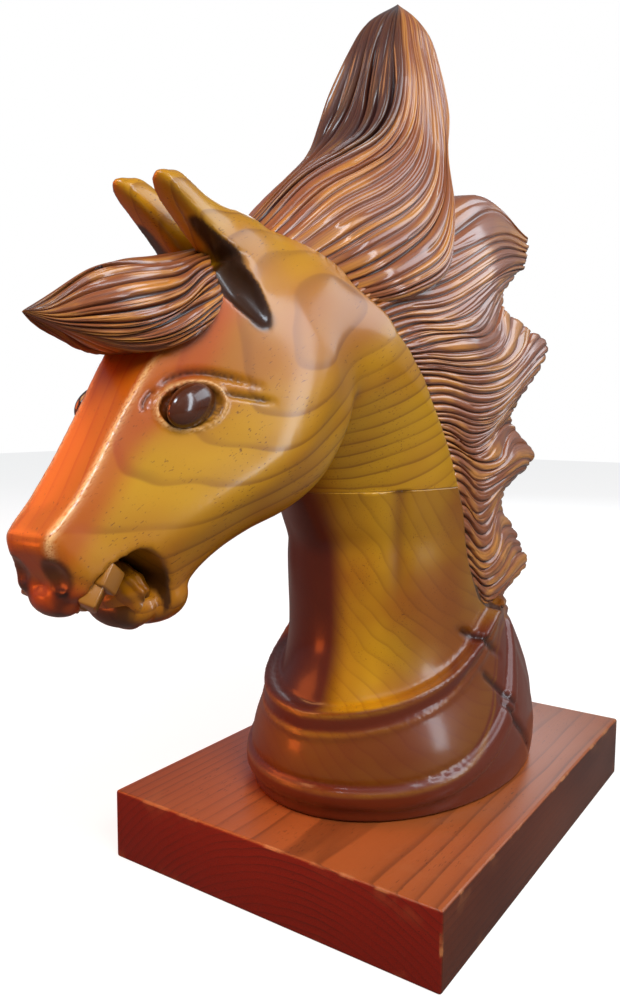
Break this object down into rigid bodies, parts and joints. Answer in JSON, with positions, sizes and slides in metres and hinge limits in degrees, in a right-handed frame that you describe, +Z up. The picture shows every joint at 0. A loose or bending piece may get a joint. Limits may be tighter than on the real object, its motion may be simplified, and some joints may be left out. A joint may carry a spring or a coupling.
{
  "type": "carved wooden horse head sculpture on a block",
  "caption": "Carved, amber-varnished wooden horse head with a swept-up forelock, open mouth, flowing mane and a draped wrap round its neck, on a rectangular block.",
  "frame": {"origin": "middle of the block's underside", "axes": "+Z up, the horse faces -Y and its left side is +X"},
  "size_m": [0.2, 0.4068, 0.4772],
  "materials": {
    "carved_wood": "glossy amber varnish over laminated pine, darker in the hair",
    "base_wood": "mahogany stain under satin varnish, worn at the edges"
  },
  "bodies": {
    "root": {"horse_head": "carved_wood", "base": "base_wood"}
  },
  "joints": []
}
